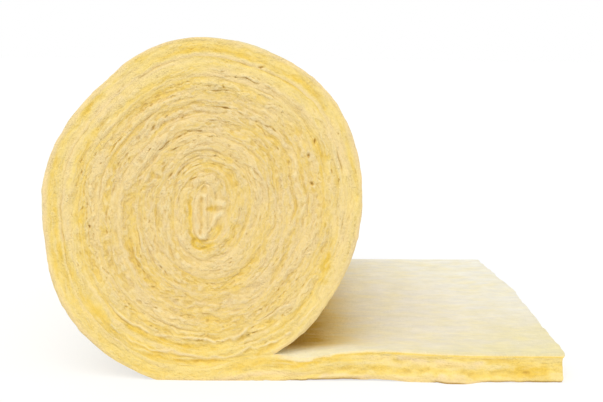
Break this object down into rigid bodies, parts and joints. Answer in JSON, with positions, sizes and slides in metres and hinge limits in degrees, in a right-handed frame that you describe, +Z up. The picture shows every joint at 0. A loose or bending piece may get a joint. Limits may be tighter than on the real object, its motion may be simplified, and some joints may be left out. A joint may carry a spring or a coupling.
{
  "type": "insulation roll",
  "caption": "Wide roll of yellow glass wool blanket, wound round its folded start and partly unrolled, with a flat tail lying on the floor.",
  "frame": {"origin": "middle of the footprint's box, on the floor that the roll and its tail rest on", "axes": "+Z up; Y along the winding axis, with the end of the roll that shows the turns winding outwards anticlockwise facing -Y; +X from the roll towards the unrolled tail's cut end"},
  "size_m": [0.9958, 1.2, 0.6401],
  "materials": {
    "glass_wool": "pale straw-yellow felted glass fibre, matt, with fine wavy layers on the cut edges and a creamier top face on the unrolled end"
  },
  "bodies": {
    "root": {"glass_wool_blanket": "glass_wool"}
  },
  "joints": []
}
